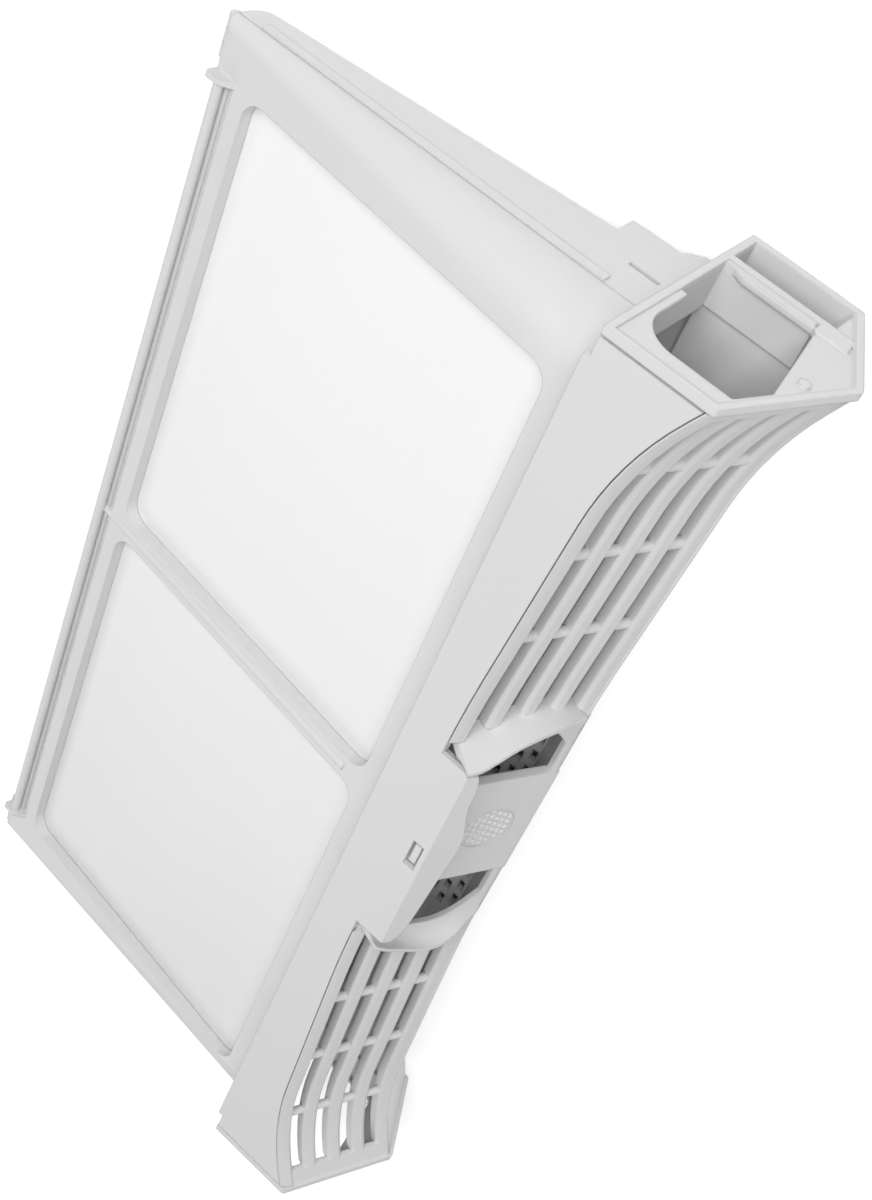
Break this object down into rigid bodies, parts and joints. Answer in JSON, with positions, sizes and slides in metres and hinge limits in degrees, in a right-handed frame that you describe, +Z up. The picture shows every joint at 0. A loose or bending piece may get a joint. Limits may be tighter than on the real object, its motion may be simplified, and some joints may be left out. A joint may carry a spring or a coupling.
{
  "type": "tumble dryer lint filter",
  "caption": "Hinged lint filter of a tumble dryer: a pocket of mesh walls under a flared grille cover with a pull flap, a grip and open duct ends.",
  "frame": {"origin": "middle of the box round the filter, on the surface it lies on", "axes": "+X along the filter from its near end to its far end, +Y from the pocket's hinge edge to the grille, +Z up; the filter lies on its back, leaf upwards"},
  "size_m": [0.4, 0.204, 0.0806],
  "materials": {
    "moulding": "satin",
    "mesh": "fine woven mesh"
  },
  "bodies": {
    "housing": {"rear_shell": "moulding", "rear_mesh_near": "mesh", "rear_mesh_far": "mesh", "grille_cover": "moulding"},
    "leaf": {"front_leaf": "moulding", "front_mesh_near": "mesh", "front_mesh_far": "mesh"}
  },
  "joints": [
    {"name": "leaf_hinge", "type": "hinge", "parent": "housing", "child": "leaf", "pos_m": [0, -0.09975, 0.01376], "axis": [1, 0, 0], "range_deg": [0, 120]}
  ]
}
